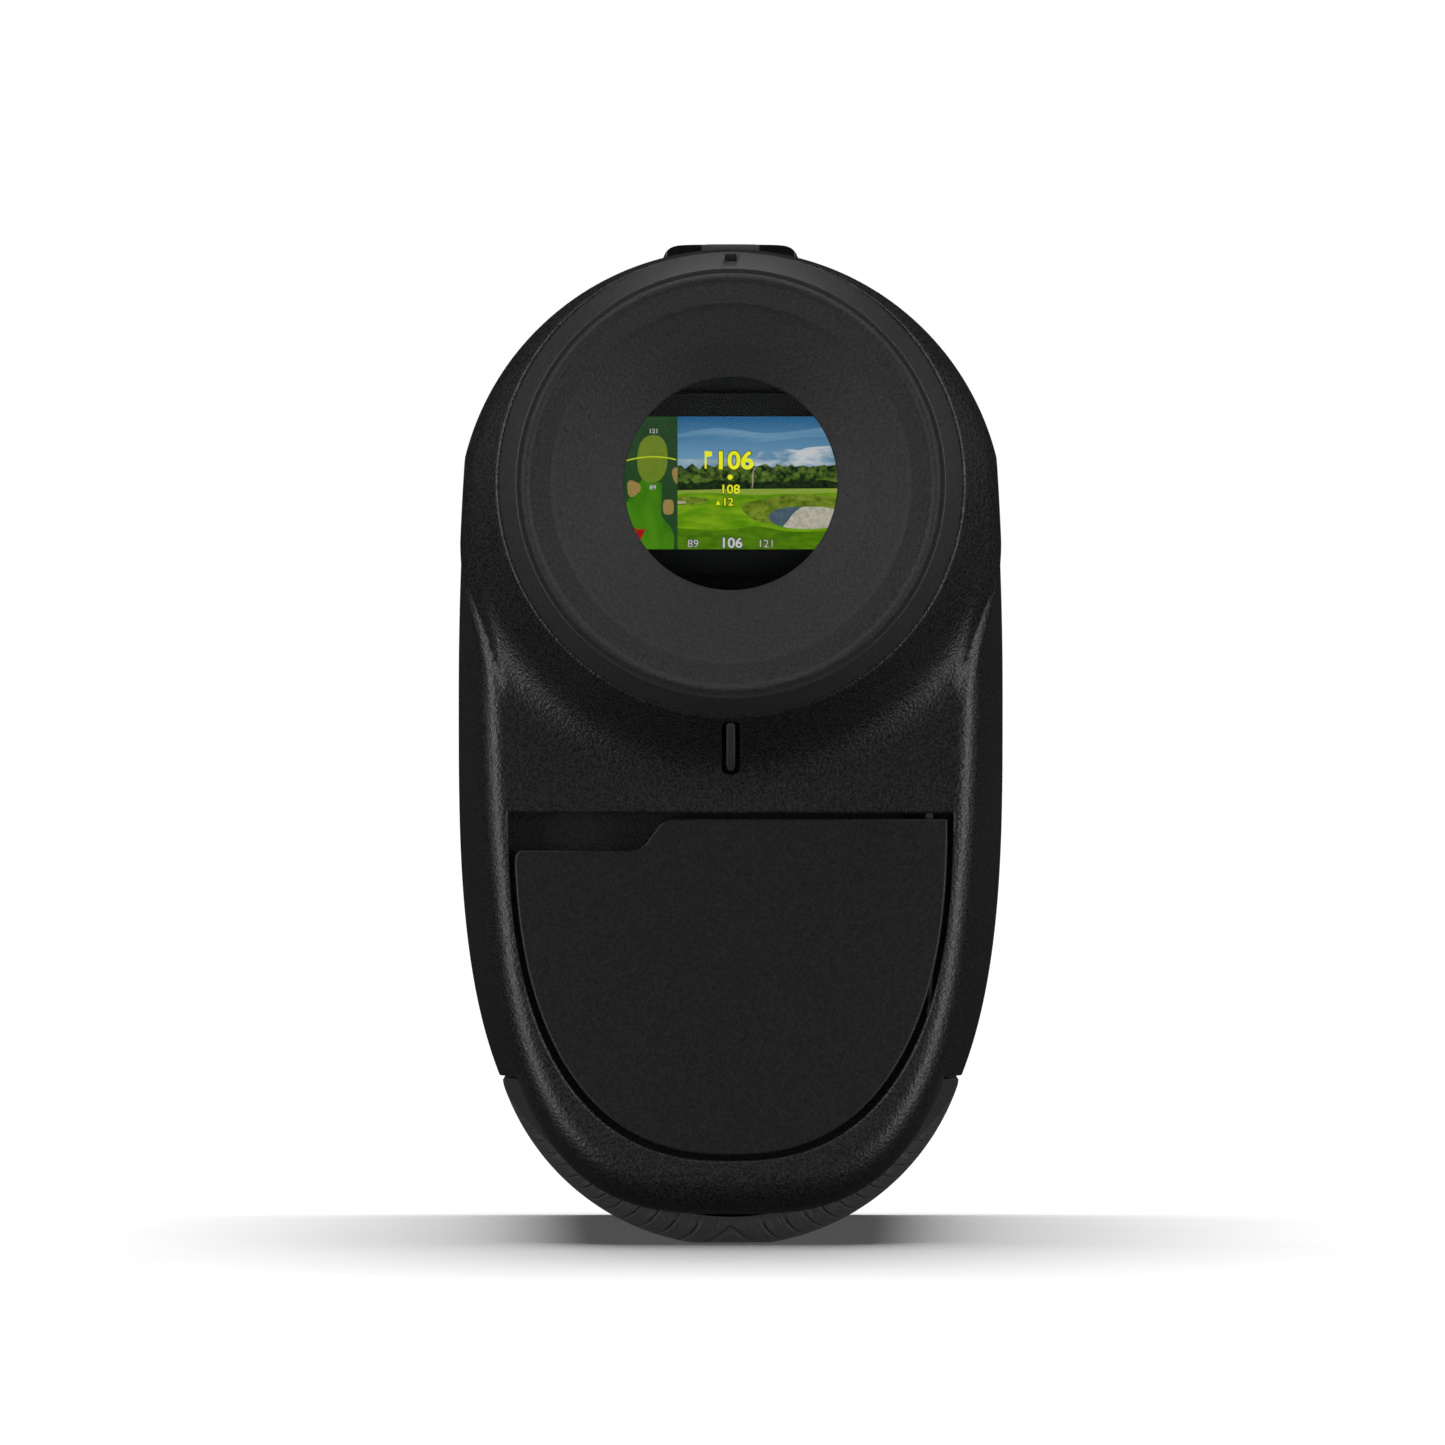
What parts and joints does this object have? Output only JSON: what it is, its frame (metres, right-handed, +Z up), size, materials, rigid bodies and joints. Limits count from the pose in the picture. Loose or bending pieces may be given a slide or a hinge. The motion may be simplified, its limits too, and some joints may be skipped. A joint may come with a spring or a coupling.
{
  "type": "golf laser rangefinder",
  "caption": "Hand-held golf laser rangefinder with a colour display in its turning eyepiece, front lenses behind a window, top keys and a hinged port cover.",
  "frame": {"origin": "middle of the bottom of the bounding box, under the belly grip", "axes": "+Z up; the eyepiece looks towards -Y and the front lenses towards +Y; +X is to the right of someone looking into the eyepiece"},
  "size_m": [0.0418, 0.122, 0.077],
  "materials": {
    "rear_housing": "fine leather grain",
    "front_housing": "fine leather grain",
    "housing_seal": "matte",
    "front_bezel": "gloss",
    "front_window": "polished",
    "belly_grip": "matte, fine diagonal grooves",
    "top_key_panel": "gloss",
    "status_light_pipe": "translucent satin",
    "eyepiece_barrel": "matte",
    "focus_o_ring": "matte",
    "display_panel": "lit picture",
    "display_bracket": "matte",
    "display_flex": "satin",
    "main_board": "solder mask",
    "shield_can": "satin",
    "processor": "matte",
    "battery": "satin foil",
    "battery_bracket": "matte",
    "usb_socket": "satin",
    "usb_board": "solder mask",
    "gps_antenna": "ceramic",
    "camera_barrel": "matte",
    "camera_lens": "coated",
    "camera_sensor_board": "solder mask",
    "receiver_tube": "matte",
    "receiver_lens": "polished",
    "receiver_board": "solder mask",
    "photodiode": "satin",
    "emitter_tube": "matte",
    "emitter_lens": "polished",
    "laser_diode": "satin",
    "optical_chassis": "matte black",
    "key_board": "solder mask",
    "range_switch": "matte",
    "mode_switch": "matte",
    "vibration_motor": "satin",
    "cover_hinge_pin": "satin",
    "diopter_ring": "fine matte",
    "eyecup": "leathery funnel",
    "lens_cell": "matte",
    "eye_lens": "polished",
    "lens_retainer": "matte",
    "cam_pin_left": "satin",
    "cam_pin_right": "satin",
    "range_key": "gloss",
    "range_switch_plunger": "matte",
    "mode_key": "gloss",
    "mode_switch_plunger": "matte",
    "port_cover": "fine matte",
    "port_cover_seal": "matte",
    "vibration_weight": "satin",
    "housing_screw_1": "satin",
    "housing_screw_2": "satin",
    "housing_screw_3": "satin",
    "housing_screw_4": "satin",
    "chassis_screw_1": "satin",
    "chassis_screw_2": "satin",
    "main_board_screw_1": "satin",
    "main_board_screw_2": "satin"
  },
  "bodies": {
    "body": {"rear_housing": "rear_housing", "front_housing": "front_housing", "housing_seal": "housing_seal", "front_bezel": "front_bezel", "front_window": "front_window", "belly_grip": "belly_grip", "top_key_panel": "top_key_panel", "status_light_pipe": "status_light_pipe", "eyepiece_barrel": "eyepiece_barrel", "focus_o_ring": "focus_o_ring", "display_panel": "display_panel", "display_bracket": "display_bracket", "display_flex": "display_flex", "main_board": "main_board", "shield_can": "shield_can", "processor": "processor", "battery": "battery", "battery_bracket": "battery_bracket", "usb_socket": "usb_socket", "usb_board": "usb_board", "gps_antenna": "gps_antenna", "camera_barrel": "camera_barrel", "camera_lens": "camera_lens", "camera_sensor_board": "camera_sensor_board", "receiver_tube": "receiver_tube", "receiver_lens": "receiver_lens", "receiver_board": "receiver_board", "photodiode": "photodiode", "emitter_tube": "emitter_tube", "emitter_lens": "emitter_lens", "laser_diode": "laser_diode", "optical_chassis": "optical_chassis", "key_board": "key_board", "range_switch": "range_switch", "mode_switch": "mode_switch", "vibration_motor": "vibration_motor", "cover_hinge_pin": "cover_hinge_pin", "housing_screw_1": "housing_screw_1", "housing_screw_2": "housing_screw_2", "housing_screw_3": "housing_screw_3", "housing_screw_4": "housing_screw_4", "chassis_screw_1": "chassis_screw_1", "chassis_screw_2": "chassis_screw_2", "main_board_screw_1": "main_board_screw_1", "main_board_screw_2": "main_board_screw_2"},
    "diopter": {"diopter_ring": "diopter_ring", "eyecup": "eyecup"},
    "lens_carriage": {"lens_cell": "lens_cell", "eye_lens": "eye_lens", "lens_retainer": "lens_retainer", "cam_pin_right": "cam_pin_right", "cam_pin_left": "cam_pin_left"},
    "range_button": {"range_key": "range_key", "range_switch_plunger": "range_switch_plunger"},
    "mode_button": {"mode_key": "mode_key", "mode_switch_plunger": "mode_switch_plunger"},
    "cover": {"port_cover": "port_cover", "port_cover_seal": "port_cover_seal"},
    "vibration": {"vibration_weight": "vibration_weight"}
  },
  "joints": [
    {"name": "diopter_turn", "type": "hinge", "parent": "body", "child": "diopter", "pos_m": [0, -0.052, 0.0581], "axis": [0, 1, 0], "range_deg": [-75, 75]},
    {"name": "lens_travel", "type": "slide", "parent": "body", "child": "lens_carriage", "axis": [0, 1, 0], "range_m": [-0.00125, 0.00125]},
    {"name": "range_press", "type": "slide", "parent": "body", "child": "range_button", "axis": [0, 0, -1], "range_m": [0, 0.0004], "stiffness_N_per_m": 2000, "springref_m": -0.0005},
    {"name": "mode_press", "type": "slide", "parent": "body", "child": "mode_button", "axis": [0, 0, -1], "range_m": [0, 0.0004], "stiffness_N_per_m": 2000, "springref_m": -0.0005},
    {"name": "cover_swing", "type": "hinge", "parent": "body", "child": "cover", "pos_m": [0.0152, -0.0494, 0.024], "axis": [0, 0, 1], "range_deg": [0, 85]},
    {"name": "vibration_spin", "type": "hinge", "parent": "body", "child": "vibration", "pos_m": [0, 0.036, 0.0096], "axis": [1, 0, 0], "continuous": true}
  ],
  "couplings": [
    {"joint": "diopter_turn", "follows": "lens_travel", "rad_per_m": 1047.1}
  ]
}
